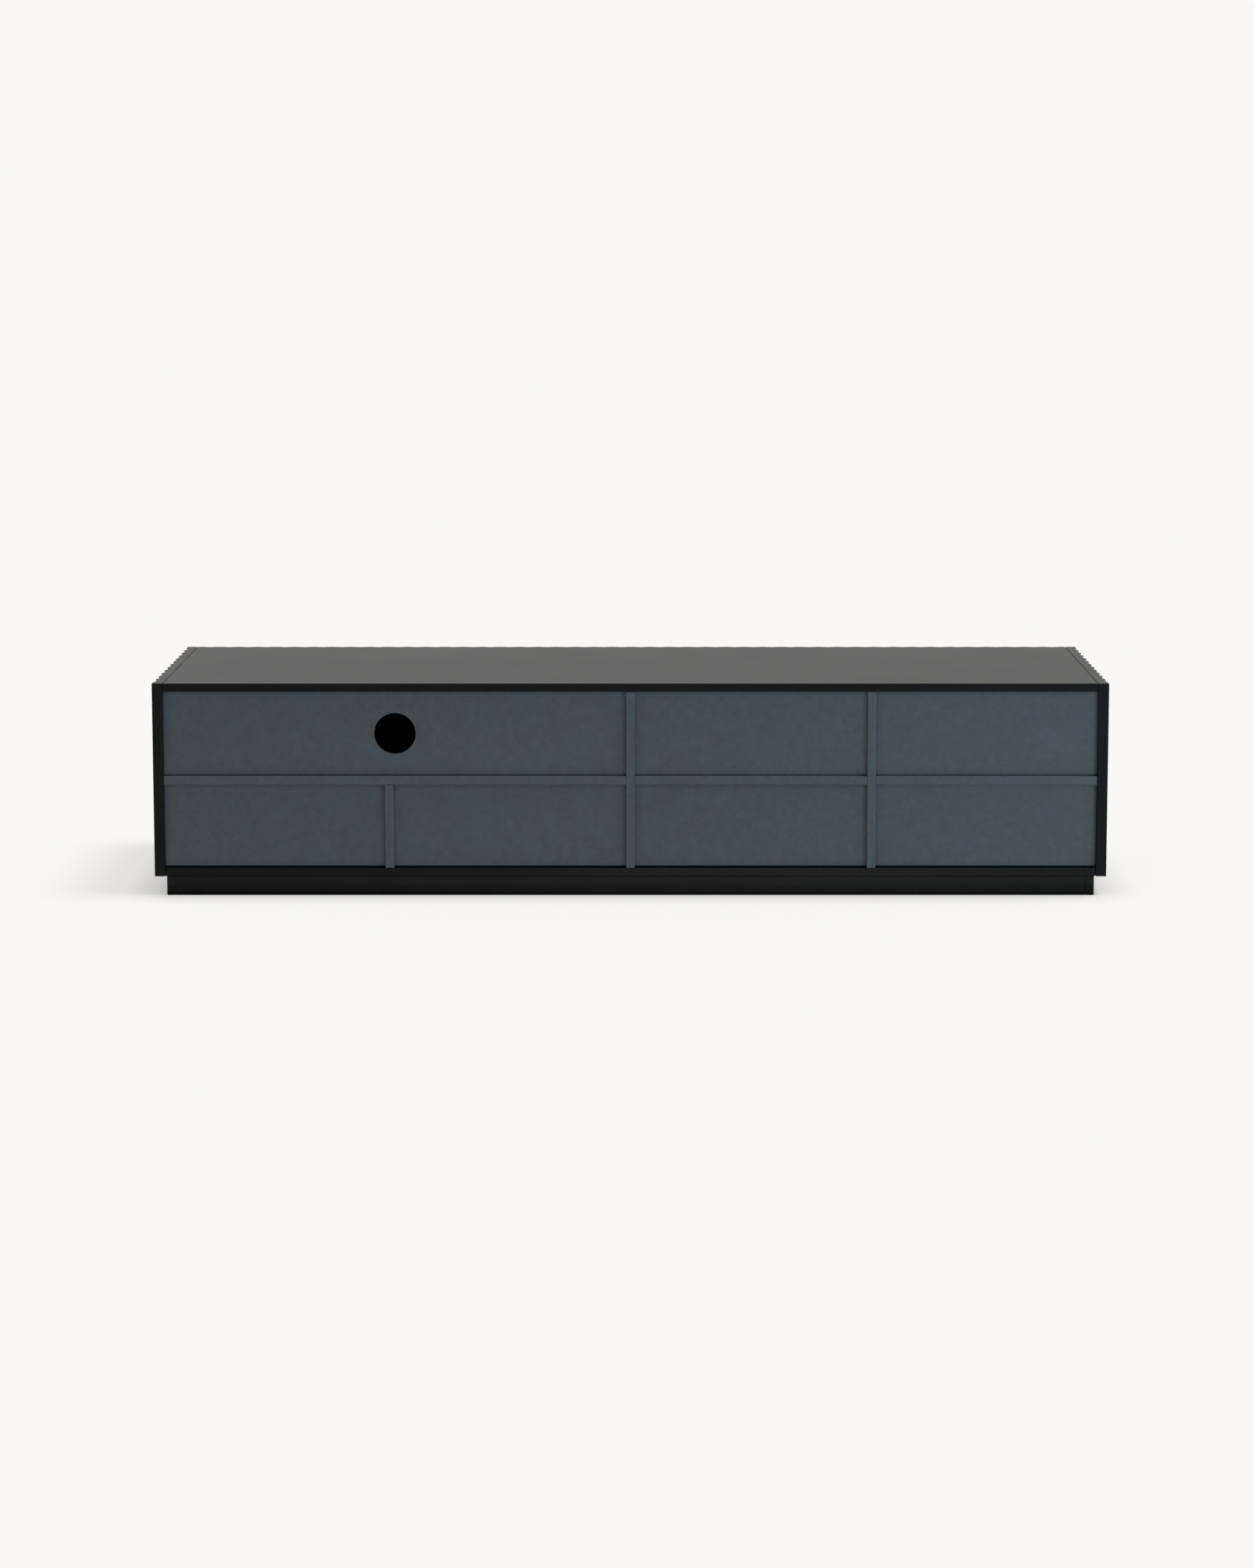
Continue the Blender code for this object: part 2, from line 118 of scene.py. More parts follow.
class Finish:
    """A Principled material and short calls for the nodes that feed it."""

    def __init__(self, name, metallic=0.0, specular=0.5):
        self.material = bpy.data.materials.new(name)
        self.material.use_nodes = True
        self.tree = self.material.node_tree
        self.shader = self.tree.nodes["Principled BSDF"]
        self.shader.inputs["Metallic"].default_value = metallic
        self.shader.inputs["Specular IOR Level"].default_value = specular
        self.place = self.tree.nodes.new("ShaderNodeTexCoord").outputs["Object"]

    def node(self, kind, inputs=(), **settings):
        """A new node. An input is a socket to link, or a plain value."""
        made = self.tree.nodes.new(kind)
        for key, value in settings.items():
            setattr(made, key, value)
        for key, value in dict(inputs).items():
            if isinstance(value, bpy.types.NodeSocket):
                self.tree.links.new(value, made.inputs[key])
            else:
                made.inputs[key].default_value = value
        return made

    def stretched(self, scale):
        """Object coordinates, with a scale factor for each axis."""
        return self.node("ShaderNodeMapping", {"Vector": self.place, "Scale": scale}).outputs[0]

    def noise(self, scale, detail=2.0, roughness=0.5, vector=None):
        inputs = {"Vector": vector or self.place, "Scale": scale, "Detail": detail,
                  "Roughness": roughness}
        return self.node("ShaderNodeTexNoise", inputs).outputs["Fac"]

    def mapped(self, value, low, high, from_low=NOISE_LOW, from_high=NOISE_HIGH):
        """A value moved from one range to the range from low to high, and held inside it."""
        inputs = {"Value": value, "From Min": from_low, "From Max": from_high, "To Min": low,
                  "To Max": high}
        return self.node("ShaderNodeMapRange", inputs).outputs["Result"]

    def mixed(self, factor, first, second):
        """A colour between two colours or colour sockets."""
        made = self.node("ShaderNodeMix", {"Factor": factor}, data_type="RGBA")
        for index, colour in zip(COLOUR_INPUTS, (first, second)):
            socket = made.inputs[index]
            if isinstance(colour, bpy.types.NodeSocket):
                self.tree.links.new(colour, socket)
            else:
                socket.default_value = (*colour, 1.0)
        return made.outputs[COLOUR_OUTPUT]

    def maths(self, operation, first, second):
        inputs = {0: first, 1: second}
        return self.node("ShaderNodeMath", inputs, operation=operation).outputs[0]

    def bump(self, height, distance, strength=1.0):
        inputs = {"Height": height, "Distance": distance, "Strength": strength}
        self.feed("Normal", self.node("ShaderNodeBump", inputs).outputs[0])

    def feed(self, socket, value):
        self.tree.links.new(value, self.shader.inputs[socket])


# ---- Finishes --------------------------------------------------------------------------------
PAINTED_SHADE_HEIGHT = 26.0 * MM         # height of the painted shade that darkens the plinth towards the floor
PAINTED_SHADE_WANDER = 2.0 * MM    # how far the top edge of that painted shade wanders


def sprayed(name, specular):
    """A sprayed finish with fine orange peel and slightly uneven gloss, and its cloudiness."""
    finish = Finish(name, specular=specular)
    clouds = finish.noise(6.0, detail=3.0)
    finish.feed("Roughness", finish.mapped(clouds, 0.365, 0.385))
    finish.bump(finish.noise(900.0), 0.03 * MM, strength=0.25)
    return finish, finish.mapped(clouds, 0.0, 1.0)


def satin_lacquer():
    """Black lacquer of the shell and the fronts."""
    finish, clouds = sprayed("satin_lacquer", specular=0.08)
    dark, light = (0.0024, 0.0025, 0.0027), (0.0036, 0.0037, 0.0039)
    finish.feed("Base Color", finish.mixed(clouds, dark, light))
    return finish.material


def plinth_lacquer():
    """The plinth's lacquer is less glossy, and darker towards the floor by painted shade."""
    finish, clouds = sprayed("plinth_lacquer", specular=0.03)
    height = finish.node("ShaderNodeSeparateXYZ", {"Vector": finish.place}).outputs["Z"]
    shade_edge_noise = finish.mapped(finish.noise(18.0, detail=4.0), -PAINTED_SHADE_WANDER,
                           PAINTED_SHADE_WANDER)
    # share is 0 at the floor and 1 above the painted shade, whose edge wanders
    share = finish.mapped(finish.maths("ADD", height, shade_edge_noise), 0.0, 1.0, 0.0, PAINTED_SHADE_HEIGHT)
    upper = finish.mixed(clouds, (0.0074, 0.0073, 0.0071), (0.0086, 0.0085, 0.0083))
    # Painted shade: the base colour goes almost black at the floor, standing in for the
    # plinth's contact shadow.
    painted_shade_at_floor = (0.0012, 0.0012, 0.0012)
    finish.feed("Base Color", finish.mixed(share, painted_shade_at_floor, upper))
    return finish.material


def slate_melamine():
    """Slate grey board: greyer and bluer patches, mottled and flecked, over a matt grain."""
    finish = Finish("slate_melamine", specular=0.30)
    mottle = finish.noise(26.0, detail=6.0, roughness=0.68)
    grain = finish.noise(900.0)
    patches = finish.noise(24.0, detail=6.0, roughness=0.72)
    patches = finish.mapped(patches, 0.0, 1.0, 0.38, 0.62)
    dark = finish.mixed(patches, (0.0298, 0.0364, 0.0429), (0.0281, 0.0384, 0.0487))
    light = finish.mixed(patches, (0.0366, 0.0446, 0.0526), (0.0345, 0.0471, 0.0597))
    flecks = finish.noise(75.0, detail=5.0, roughness=0.75)
    flecks = finish.mapped(flecks, -0.25, 0.75, 0.36, 0.64)
    speckle = finish.maths("ADD", flecks, finish.mapped(grain, 0.0, 0.15))
    factor = finish.maths("ADD", finish.mapped(mottle, -0.1, 0.45), speckle)
    finish.feed("Base Color", finish.mixed(factor, dark, light))
    finish.feed("Roughness", finish.mapped(mottle, 0.50, 0.60))
    finish.bump(grain, 0.03 * MM, strength=0.4)
    return finish.material


def drawer_foil():
    """Grey foil with a woven linen print, as drawer boxes are wrapped in."""
    finish = Finish("drawer_foil", specular=0.35)
    fine, long = 1600.0, 90.0           # of the threads' noise, over and along a thread
    thin, thick = 0.12, 0.40            # most of the weave's values are between these
    across = finish.noise(1.0, vector=finish.stretched((fine, long, fine)))
    along = finish.noise(1.0, vector=finish.stretched((long, fine, long)))
    weave = finish.maths("MULTIPLY", across, along)
    factor = finish.mapped(weave, 0.0, 1.0, thin, thick)
    dark, light = (0.085, 0.090, 0.096), (0.130, 0.136, 0.143)
    finish.feed("Base Color", finish.mixed(factor, dark, light))
    finish.feed("Roughness", finish.mapped(weave, 0.60, 0.50, thin, thick))
    finish.bump(weave, 0.05 * MM, strength=0.4)
    return finish.material


def zinc_steel():
    """Zinc-plated steel: drawn streaks along the runner and a faint crystalline mottle."""
    finish = Finish("zinc_steel", metallic=1.0)
    drawn = finish.stretched((2200.0, 12.0, 2200.0))
    streaks = finish.noise(1.0, detail=3.0, vector=drawn)
    crystals = finish.node("ShaderNodeTexVoronoi", {"Vector": finish.place, "Scale": 380.0})
    factor = finish.maths("MULTIPLY", finish.mapped(streaks, 0.5, 1.0),
                          crystals.outputs["Distance"])
    finish.feed("Base Color", finish.mixed(factor, (0.46, 0.47, 0.49), (0.66, 0.67, 0.68)))
    finish.feed("Roughness", finish.mapped(streaks, 0.26, 0.42))
    finish.bump(streaks, 0.02 * MM, strength=0.3)
    return finish.material


def black_coated_steel():
    """Powder-coated steel of the flap's fittings, with a fine grain."""
    finish = Finish("black_coated_steel", metallic=0.6)
    grain = finish.noise(1500.0)
    finish.feed("Base Color", finish.mixed(grain, (0.018, 0.018, 0.019), (0.040, 0.040, 0.042)))
    finish.feed("Roughness", finish.mapped(grain, 0.38, 0.52))
    finish.bump(grain, 0.03 * MM, strength=0.5)
    return finish.material


def black_plastic():
    """Moulded plastic of the latch, with a fine spark-eroded grain."""
    finish = Finish("black_plastic", specular=0.45)
    grain = finish.noise(2200.0)
    finish.feed("Base Color", finish.mixed(grain, (0.014, 0.014, 0.015), (0.026, 0.026, 0.027)))
    finish.feed("Roughness", finish.mapped(grain, 0.42, 0.56))
    finish.bump(grain, 0.04 * MM, strength=0.5)
    return finish.material


LACQUER = satin_lacquer()
PLINTH_LACQUER_PAINTED_SHADE = plinth_lacquer()
SLATE = slate_melamine()
FOIL = drawer_foil()
ZINC = zinc_steel()
COATED = black_coated_steel()
PLASTIC = black_plastic()


# ---- Mesh helpers ----------------------------------------------------------------------------
def finish_mesh(name, builder, material, body, nodes=()):
    """Turn a bmesh in row coordinates into a piece that rides a body and stands for nodes."""
    bmesh.ops.recalc_face_normals(builder, faces=builder.faces)
    mesh = bpy.data.meshes.new(name)
    builder.to_mesh(mesh)
    builder.free()
    mesh.shade_smooth()
    mesh.set_sharp_from_angle(angle=SMOOTH_ANGLE)
    mesh.materials.append(material)
    piece = bpy.data.objects.new(name, mesh)
    bpy.context.scene.collection.objects.link(piece)
    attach(piece, body)
    if nodes:
        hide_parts(*nodes)
    return piece


def round_edges(piece, radius, segments=3):
    modifier = piece.modifiers.new("rounded_edges", "BEVEL")
    modifier.width = radius
    modifier.segments = segments
    modifier.limit_method = "ANGLE"
    modifier.angle_limit = ROUNDED_ANGLE
    modifier.harden_normals = True


def add_loft(builder, sections):
    """Quads between closed sections of equal point counts, with a cap at each end."""
    rings = [[builder.verts.new(point) for point in section] for section in sections]
    for ring, following in zip(rings, rings[1:]):
        for index, vertex in enumerate(ring):
            after = (index + 1) % len(ring)
            builder.faces.new((vertex, ring[after], following[after], following[index]))
    builder.faces.new(rings[0])
    builder.faces.new(rings[-1])


def add_prism(builder, outline, offset):
    """A closed prism: an outline, pushed along an offset."""
    add_loft(builder, [outline, [Vector(point) + Vector(offset) for point in outline]])


def add_box(builder, low, high):
    """A board between two opposite corners."""
    outline = [(low[0], low[1], low[2]), (high[0], low[1], low[2]), (high[0], high[1], low[2]),
               (low[0], high[1], low[2])]
    add_prism(builder, outline, (0, 0, high[2] - low[2]))


def ring(centre, radius, count):
    """A circle of points round the Z axis."""
    x, y, z = centre
    turns = [2 * math.pi * index / count for index in range(count)]
    return [(x + radius * math.cos(turn), y + radius * math.sin(turn), z) for turn in turns]


def cut(builder, tool):
    """A new bmesh: the first shape with the second taken away. Both are used up."""
    made = []
    for shape in (builder, tool):
        bmesh.ops.recalc_face_normals(shape, faces=shape.faces)
        mesh = bpy.data.meshes.new("cut")
        shape.to_mesh(mesh)
        shape.free()
        made.append(bpy.data.objects.new("cut", mesh))
        bpy.context.scene.collection.objects.link(made[-1])
    modifier = made[0].modifiers.new("cut", "BOOLEAN")
    modifier.object = made[1]
    modifier.solver = "EXACT"
    graph = bpy.context.evaluated_depsgraph_get()
    result = bmesh.new()
    result.from_mesh(made[0].evaluated_get(graph).to_mesh())
    for item in made:
        bpy.data.objects.remove(item)
    return result


# ---- Fluted boards ---------------------------------------------------------------------------
def flute_depth(distance, first, last):
    """Depth of a fluted face below its crests, flat outside the span from first to last."""
    if distance <= first or distance >= last:
        return 0.0
    turn = 2 * math.pi * (distance - first) / FLUTE_PITCH
    return FLUTE_DEPTH * (0.5 - 0.5 * math.cos(turn)) ** FLUTE_POWER


def flute_stations(start, end, first, flutes):
    """Places along a fluted face from start to end, at each facet's edge."""
    step = FLUTE_PITCH / FLUTE_STEPS
    inner = [first + step * count for count in range(flutes * FLUTE_STEPS + 1)]
    margin = NARROWEST_FACET * step
    return [start] + [place for place in inner if start + margin < place < end - margin] + [end]


def front_section(x, low, high, front, chamfer):
    """Cross-section of a front-fluted board at x, with its lower front edge taken off."""
    span = FRONT_FLUTES / 2 * FLUTE_PITCH
    face = front + flute_depth(x, -span, span)
    section = [(x, face, high.z), (x, high.y, high.z), (x, high.y, low.z)]
    if chamfer:
        return section + [(x, front + chamfer, low.z),
                          (x, face, low.z + chamfer + front - face)]
    return section + [(x, face, low.z)]


def front_fluted(name, node, body, chamfer=0.0, inset=0.0):
    """A board whose front edge or face carries the front's flutes, inset at both ends."""
    low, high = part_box(node)
    low.x += inset
    high.x -= inset
    first = -FRONT_FLUTES / 2 * FLUTE_PITCH
    stations = flute_stations(low.x, high.x, first, FRONT_FLUTES)
    front = cad_box[0][1]
    builder = bmesh.new()
    add_loft(builder, [front_section(x, low, high, front, chamfer) for x in stations])
    board = finish_mesh(name, builder, LACQUER, body, [node])
    round_edges(board, LACQUER_EDGE)


def side_fluted(name, node, sign):
    """A side board: flutes on its outer face, counted from the rear."""
    low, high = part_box(node)
    outer, inner = (high.x, low.x) if sign > 0 else (low.x, high.x)
    stations = flute_stations(0.0, high.y - low.y, SIDE_REAR_FLAT, SIDE_FLUTES)
    last = SIDE_REAR_FLAT + SIDE_FLUTES * FLUTE_PITCH
    sections = []
    for back in stations:
        y = high.y - back
        face = outer - sign * flute_depth(back, SIDE_REAR_FLAT, last)
        sections.append([(face, y, low.z), (face, y, high.z), (inner, y, high.z),
                         (inner, y, low.z)])
    builder = bmesh.new()
    add_loft(builder, sections)
    board = finish_mesh(name, builder, LACQUER, "carcass", [node])
    round_edges(board, LACQUER_EDGE)


front_fluted("top_board", "top_panel", "carcass", inset=SEAM_INSET)
front_fluted("bottom_board", "bottom_panel", "carcass", inset=SEAM_INSET)
side_fluted("side_board_left", "side_panel_left", -1)
side_fluted("side_board_right", "side_panel_right", 1)
front_fluted("flap_face", "flap_panel", "flap", chamfer=FLAP_CHAMFER)
for bay in BAYS:
    front_fluted("drawer_face_" + bay, "drawer_front_" + bay, "drawer_" + bay)


# ---- Plain boards: the CAD nodes, with rounded edges and a finish ----------------------------
# How the nodes' names start, with their material and their edges' radius.
NODE_FINISHES = (
    (("divider", "shelf"), SLATE, SLATE_EDGE),
    ("plinth", PLINTH_LACQUER_PAINTED_SHADE, LACQUER_EDGE),
    ("runner", ZINC, FITTING_EDGE),
    ("drawer_bottom", FOIL, PANEL_EDGE),
    ("flap_bracket", COATED, FITTING_EDGE),
    ("latch", PLASTIC, FITTING_EDGE),
)


def dress_node(node, material, radius):
    """Give a CAD node its finish, and round the edges that show."""
    node.data.materials.clear()
    node.data.materials.append(material)
    weld = node.modifiers.new("joined_corners", "WELD")
    weld.merge_threshold = WELD_DISTANCE
    round_edges(node, radius, segments=2)


for name, node in frame["nodes"].items():
    for starts, material, radius in NODE_FINISHES:
        if name.startswith(starts):
            dress_node(node, material, radius)


# ---- Back panels -----------------------------------------------------------------------------
GROOVE = 4.0 * MM             # how far a panel reaches into the boards round it
SHELF_LINE = 2.6 * MM         # rebate along a panel's lower edge, which reads as a dark line
BASE_LINE = 3.4 * MM          # the same line over the bottom board, closed by a black strip that paints its shadow
SHADOW_DEPTH = 3.8 * MM       # of both lines, in from the panel's face
CABLE_HOLE_RADIUS = 39.0 * MM
CABLE_HOLE_SIDES = 96
CUTTER_SPARE = 4.0 * MM       # how far the hole's cutter stands out of the board at each end


def panel_over_shadow_strip(builder, node, low, high, step):
    """A panel that stops above the bottom board, and the black strip that closes the gap: a
    dark piece put where there is only shade, a painted shadow line.
    """
    foot = low.z + GROOVE + BASE_LINE
    add_box(builder, (low.x, low.y, foot), high)
    # Painted shadow: a black lacquer strip behind the gap, so that the line under the panel
    # reads near black.
    shadow_strip = bmesh.new()
    add_box(shadow_strip, low, (high.x, step, foot))
    piece = finish_mesh(node.replace("back_panel", "back_strip"), shadow_strip, LACQUER, "carcass")
    round_edges(piece, STRIP_EDGE)


def rebated_panel(builder, low, high, step):
    """A panel with a rebate along its lower edge."""
    foot = low.z + GROOVE + SHELF_LINE
    section = [(low.y, low.z), (step, low.z), (step, foot), (high.y, foot), (high.y, high.z),
               (low.y, high.z)]
    add_prism(builder, [(low.x, y, z) for y, z in section], (high.x - low.x, 0, 0))


def drilled(builder, low, high, radius):
    """The board with a round hole through its middle, along Y."""
    tool = bmesh.new()
    middle = ((low.x + high.x) / 2, (low.z + high.z) / 2, 0)
    circle = [(x, low.y - CUTTER_SPARE, z)
              for x, z, _ in ring(middle, radius, CABLE_HOLE_SIDES)]
    add_prism(tool, circle, (0, high.y - low.y + 2 * CUTTER_SPARE, 0))
    return cut(builder, tool)


def back_panel(bay, hole_radius=0.0):
    node = "back_panel_" + bay
    low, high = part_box(node)
    step = high.y - SHADOW_DEPTH
    builder = bmesh.new()
    if "lower" in bay:
        panel_over_shadow_strip(builder, node, low, high, step)
    else:
        rebated_panel(builder, low, high, step)
    if hole_radius:
        builder = drilled(builder, low, high, hole_radius)
    name = node.replace("back_panel", "back_board")
    round_edges(finish_mesh(name, builder, SLATE, "carcass", [node]),
                PANEL_EDGE)


for bay in BAYS:
    back_panel(bay)
back_panel("media", CABLE_HOLE_RADIUS)


# ---- Drawer boxes: three boards folded from one, with mitred corners -------------------------
BOX_WALL = 12.0 * MM
MITRE_GAP = 0.15 * MM         # the fine joint that shows at each corner


def drawer_box(bay):
    """The two sides and the back of a drawer, as one piece."""
    low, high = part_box("drawer_wrap_" + bay)
    inner_back = high.y - BOX_WALL
    height = (0, 0, high.z - low.z)
    builder = bmesh.new()
    for _, inward in SIDES:
        outer = low.x if inward > 0 else high.x
        inner = outer + inward * BOX_WALL
        side = [(outer, low.y), (inner, low.y), (inner, inner_back - MITRE_GAP),
                (outer, high.y - MITRE_GAP)]
        add_prism(builder, [(x, y, low.z) for x, y in side], height)
    back = [(low.x + MITRE_GAP, high.y), (low.x + BOX_WALL + MITRE_GAP, inner_back),
            (high.x - BOX_WALL - MITRE_GAP, inner_back), (high.x - MITRE_GAP, high.y)]
    add_prism(builder, [(x, y, low.z) for x, y in back], height)
    piece = finish_mesh("drawer_box_" + bay, builder, FOIL, "drawer_" + bay,
                        ["drawer_wrap_" + bay])
    round_edges(piece, BOX_EDGE)


for bay in BAYS:
    drawer_box(bay)


# ---- Runners' drawer halves, screws and cams -------------------------------------------------
SLIDER_HEIGHT = 24.0 * MM
SLIDER_STEEL = 1.2 * MM
SLIDER_FLANGE = 9.6 * MM
SLIDER_CLEARANCE = 0.1 * MM   # between a slider and its drawer box
RUNNER_WEB = 1.5 * MM         # inner face of a cabinet runner's web, off the wall
SCREW_SINK = 0.3 * MM         # how far a screw's head is let into that web
SLIDER_SCREWS = (0.09, 0.42, 0.91)    # places along the runner, as shares of its length
RUNNER_SCREWS = (0.16, 0.5, 0.84)
CAM_SETBACK = 24.0 * MM       # behind the drawer's front
CAM_HEIGHTS = (38.0 * MM, 96.0 * MM)  # over the drawer box's lower edge

# A fixing's head: its dome as shares of radius and height, and its recess as shares of radius.
HEAD_PROFILE = ((1.0, 0.0), (1.0, 0.35), (0.93, 0.65), (0.75, 0.88), (0.45, 1.0))
HEAD_SIDES = 24
CROSS_ARM = 0.55
CROSS_HALF_WIDTH = 0.11
FIRST_TURN, NEXT_TURN = 25, 37        # degrees by which the heads in a row are turned


def fixing_head(radius, height, recess):
    """A low domed head with a cross recess, as a mesh that faces +Z."""
    builder = bmesh.new()
    add_loft(builder, [ring((0, 0, level * height), share * radius, HEAD_SIDES)
                       for share, level in HEAD_PROFILE])
    tool = bmesh.new()
    arm, slot, floor = CROSS_ARM * radius, CROSS_HALF_WIDTH * radius, height - recess
    cross = [(arm, slot), (slot, slot), (slot, arm), (-slot, arm), (-slot, slot), (-arm, slot),
             (-arm, -slot), (-slot, -slot), (-slot, -arm), (slot, -arm), (slot, -slot),
             (arm, -slot)]
    add_prism(tool, [(x, y, floor) for x, y in cross], (0, 0, 2 * recess))
    builder = cut(builder, tool)
    mesh = bpy.data.meshes.new("fixing_head")
    builder.to_mesh(mesh)
    builder.free()
    return mesh


SCREW = fixing_head(radius=3.2 * MM, height=1.5 * MM, recess=0.9 * MM)
SMALL_SCREW = fixing_head(radius=1.9 * MM, height=0.9 * MM, recess=0.6 * MM)
CAM = fixing_head(radius=7.5 * MM, height=0.7 * MM, recess=0.5 * MM)


def add_fixings(name, head, places, facing, material, body):
    """Copies of a head at several places, as one piece. Each is turned a little differently."""
    builder = bmesh.new()
    aim = Vector(facing).to_track_quat("Z", "Y").to_matrix().to_4x4()
    for index, place in enumerate(places):
        start = len(builder.verts)
        builder.from_mesh(head)
        builder.verts.ensure_lookup_table()
        turn = Matrix.Rotation(math.radians(FIRST_TURN + NEXT_TURN * index), 4, "Z")
        bmesh.ops.transform(builder, matrix=Matrix.Translation(place) @ aim @ turn,
                            verts=builder.verts[start:])
    finish_mesh(name, builder, material, body)


def add_runner_screws(name, low, high, shares, face, facing, body):
    """Screws along a runner between two corners, with their heads on a face along X."""
    middle = (low.z + high.z) / 2
    length = high.y - low.y
    places = [(face, low.y + length * share, middle) for share in shares]
    add_fixings(name, SCREW, places, (facing, 0, 0), ZINC, body)


def slider(bay, side, inward):
    """A runner's drawer half, a channel inside the cabinet's, and the runner's screws."""
    low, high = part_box("runner_" + bay + "_" + side)
    box_low, box_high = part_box("drawer_wrap_" + bay)
    web = (box_low.x if inward > 0 else box_high.x) - inward * SLIDER_CLEARANCE
    bottom = (low.z + high.z - SLIDER_HEIGHT) / 2
    half = [(0, 0), (SLIDER_FLANGE, 0), (SLIDER_FLANGE, SLIDER_STEEL),
            (SLIDER_STEEL, SLIDER_STEEL)]
    profile = half + [(x, SLIDER_HEIGHT - z) for x, z in reversed(half)]
    builder = bmesh.new()
    add_prism(builder, [(web - inward * x, low.y, bottom + z) for x, z in profile],
              (0, box_high.y - low.y, 0))
    label = bay + "_" + side
    piece = finish_mesh("runner_slider_" + label, builder, ZINC, "drawer_" + bay)
    round_edges(piece, SLIDER_EDGE)

    add_runner_screws("slider_screws_" + label, low, high, SLIDER_SCREWS,
                      web - inward * SLIDER_STEEL, -inward, "drawer_" + bay)
    wall = low.x if inward > 0 else high.x
    add_runner_screws("runner_screws_" + label, low, high, RUNNER_SCREWS,
                      wall + inward * (RUNNER_WEB - SCREW_SINK), inward, "carcass")


def drawer_cams(bay):
    """Cam discs inside the drawer box, which hold its front."""
    low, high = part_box("drawer_wrap_" + bay)
    for side, inward in SIDES:
        face = low.x + BOX_WALL if inward > 0 else high.x - BOX_WALL
        places = [(face, low.y + CAM_SETBACK, low.z + rise) for rise in CAM_HEIGHTS]
        add_fixings("drawer_cams_" + bay + "_" + side, CAM, places, (inward, 0, 0), ZINC,
                    "drawer_" + bay)


for bay in BAYS:
    for side, inward in SIDES:
        slider(bay, side, inward)
    drawer_cams(bay)


# ---- Flap and latch hardware -----------------------------------------------------------------
STRIKE_THICKNESS = 0.3 * MM
STRIKE_HALF_WIDTH = 11 * MM
STRIKE_SPAN = (24 * MM, 0.8 * MM)     # its lower and upper edge, below the flap's upper edge
STRIKE_SCREW_DROP = 18 * MM           # its screws, below the same edge
STRIKE_SCREW_SPACE = 7 * MM           # and to either side of its middle
BRACKET_STEEL = 1.2 * MM              # thickness of both brackets
CENTRE_SCREW_INSET = 3.2 * MM         # from the centre bracket's free edge
CENTRE_SCREW_MARGIN = 6 * MM          # from its lower and upper end
SIDE_SCREW_SETBACKS = (6 * MM, 17 * MM)   # in front of the side bracket's rear edge
SIDE_SCREW_DROP = 8 * MM              # below its upper edge
LATCH_SCREW_MARGINS = (14 * MM, 8 * MM)   # from the housing's front and rear end


def small_screws(name, places, facing, body):
    add_fixings(name, SMALL_SCREW, places, facing, COATED, body)


def strike_plate():
    """A thin black plate on the flap's inner face, for the latch's plunger to push against."""
    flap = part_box("flap_panel")[1]
    plunger_low, plunger_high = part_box("latch_plunger")
    x = (plunger_low.x + plunger_high.x) / 2
    lower, upper = STRIKE_SPAN
    builder = bmesh.new()
    add_box(builder, (x - STRIKE_HALF_WIDTH, flap.y, flap.z - lower),
            (x + STRIKE_HALF_WIDTH, flap.y + STRIKE_THICKNESS, flap.z - upper))
    plate = finish_mesh("strike_plate", builder, COATED, "flap")
    round_edges(plate, PLATE_EDGE)
    places = [(x + offset, flap.y + STRIKE_THICKNESS, flap.z - STRIKE_SCREW_DROP)
              for offset in (-STRIKE_SCREW_SPACE, STRIKE_SCREW_SPACE)]
    small_screws("strike_plate_screws", places, (0, 1, 0), "flap")


def bracket_screws():
    low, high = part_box("flap_bracket_centre")
    places = [(high.x - CENTRE_SCREW_INSET, high.y - BRACKET_STEEL, z)
              for z in (low.z + CENTRE_SCREW_MARGIN, high.z - CENTRE_SCREW_MARGIN)]
    small_screws("bracket_screws_centre", places, (0, -1, 0), "carcass")
    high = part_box("flap_bracket_side")[1]
    places = [(high.x - BRACKET_STEEL, high.y - back, high.z - SIDE_SCREW_DROP)
              for back in SIDE_SCREW_SETBACKS]
    small_screws("bracket_screws_side", places, (-1, 0, 0), "carcass")


def latch_screws():
    low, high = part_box("latch_housing")
    front, rear = LATCH_SCREW_MARGINS
    places = [((low.x + high.x) / 2, y, low.z) for y in (low.y + front, high.y - rear)]
    small_screws("latch_screws", places, (0, 0, -1), "carcass")


strike_plate()
bracket_screws()
latch_screws()


# ---- Stage, light and camera -----------------------------------------------------------------
BACKDROP = (0.947, 0.938, 0.922)
FLOOR_RADIUS = 60.0
FLOOR_SIDES = 96
FLOOR_GLOW = 0.75         # share of the floor's brightness that the lights don't give
CONTACT_REACH = 0.085     # how far the contact shadow reaches over the floor
CONTACT_SHARE = 0.55      # how much of the glow it takes away
CONTACT_SAMPLES = 8
SUN_SHARE = 2.0           # sunlight on the floor, as a share of the sky's
SUN_ELEVATION = math.radians(68)
SUN_AZIMUTH = math.radians(-3)    # from the -X axis, below zero towards the fluted front
SUN_WIDTH = math.radians(20)
SUN_DISTANCE = 4.0
SOFTBOX_LEVEL = 0.20      # low, so that no softbox shines on the satin top or mirrors in it
SOFTBOX_SIZE = (1.6, 0.36)
CAMERA_PLACE = (-0.0248, 6.1907, 1.3366)
CAMERA_PITCH = 6.491      # degrees down
CAMERA_LENS = 73.55
CAMERA_SENSOR = 36.0
CAMERA_SHIFT = (-0.0106, -0.15)
CAMERA_REACH = 200.0


def receivers(name, starts, skipped=()):
    """A collection of the pieces whose names start in these ways, for light linking."""
    made = bpy.data.collections.new(name)
    for item in bpy.context.scene.objects:
        wanted = item.name.startswith(starts) and not item.name.startswith(skipped)
        if item.type == "MESH" and wanted:
            made.objects.link(item)
    return made


# Bright steel is left out, because it would mirror the softboxes as pure white.
ALL_BUT_STEEL = receivers("all_but_steel", ("",), ("runner", "slider", "drawer_cams"))
LOWER_EDGES = receivers("lower_edges", ("bottom_board", "plinth"))

